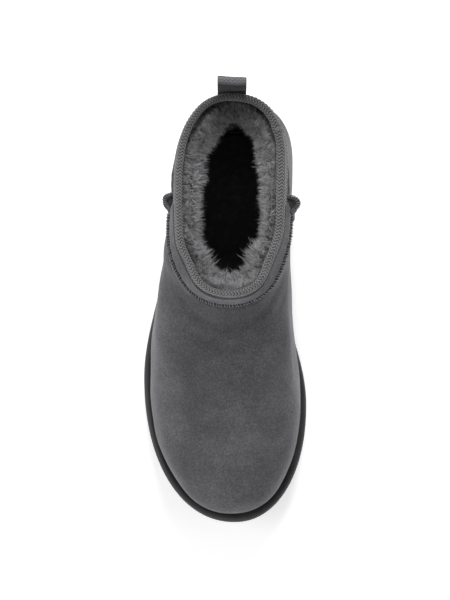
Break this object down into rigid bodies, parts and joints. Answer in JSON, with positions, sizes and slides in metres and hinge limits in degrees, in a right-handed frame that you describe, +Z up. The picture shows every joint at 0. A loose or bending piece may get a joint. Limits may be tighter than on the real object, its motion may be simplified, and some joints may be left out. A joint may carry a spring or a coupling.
{
  "type": "sheepskin boot",
  "caption": "Low slip-on sheepskin boot for the right foot, with a fleece-lined suede upper, bound collar, heel pull loop and moulded sole.",
  "frame": {"origin": "on the floor, under the centre of the boot's bounding box", "axes": "-Y to the toe, +Y to the heel, +X to the big-toe side, +Z up"},
  "size_m": [0.1008, 0.26, 0.1494],
  "materials": {
    "sole_foam": "moulded foam rubber, matt, fine skin texture",
    "insole_fleece": "short dense wool",
    "upper_suede": "napped suede outside, deep fleece inside",
    "binding_tape": "herringbone woven tape",
    "loop_webbing": "ribbed woven webbing",
    "seam_edge": "cut suede edges bound with overlock thread"
  },
  "bodies": {
    "root": {"outsole": "sole_foam", "insole": "insole_fleece", "upper": "upper_suede", "collar_binding": "binding_tape", "pull_loop": "loop_webbing", "side_seam_lateral": "seam_edge", "side_seam_medial": "seam_edge", "collar_seam": "seam_edge"}
  },
  "joints": []
}
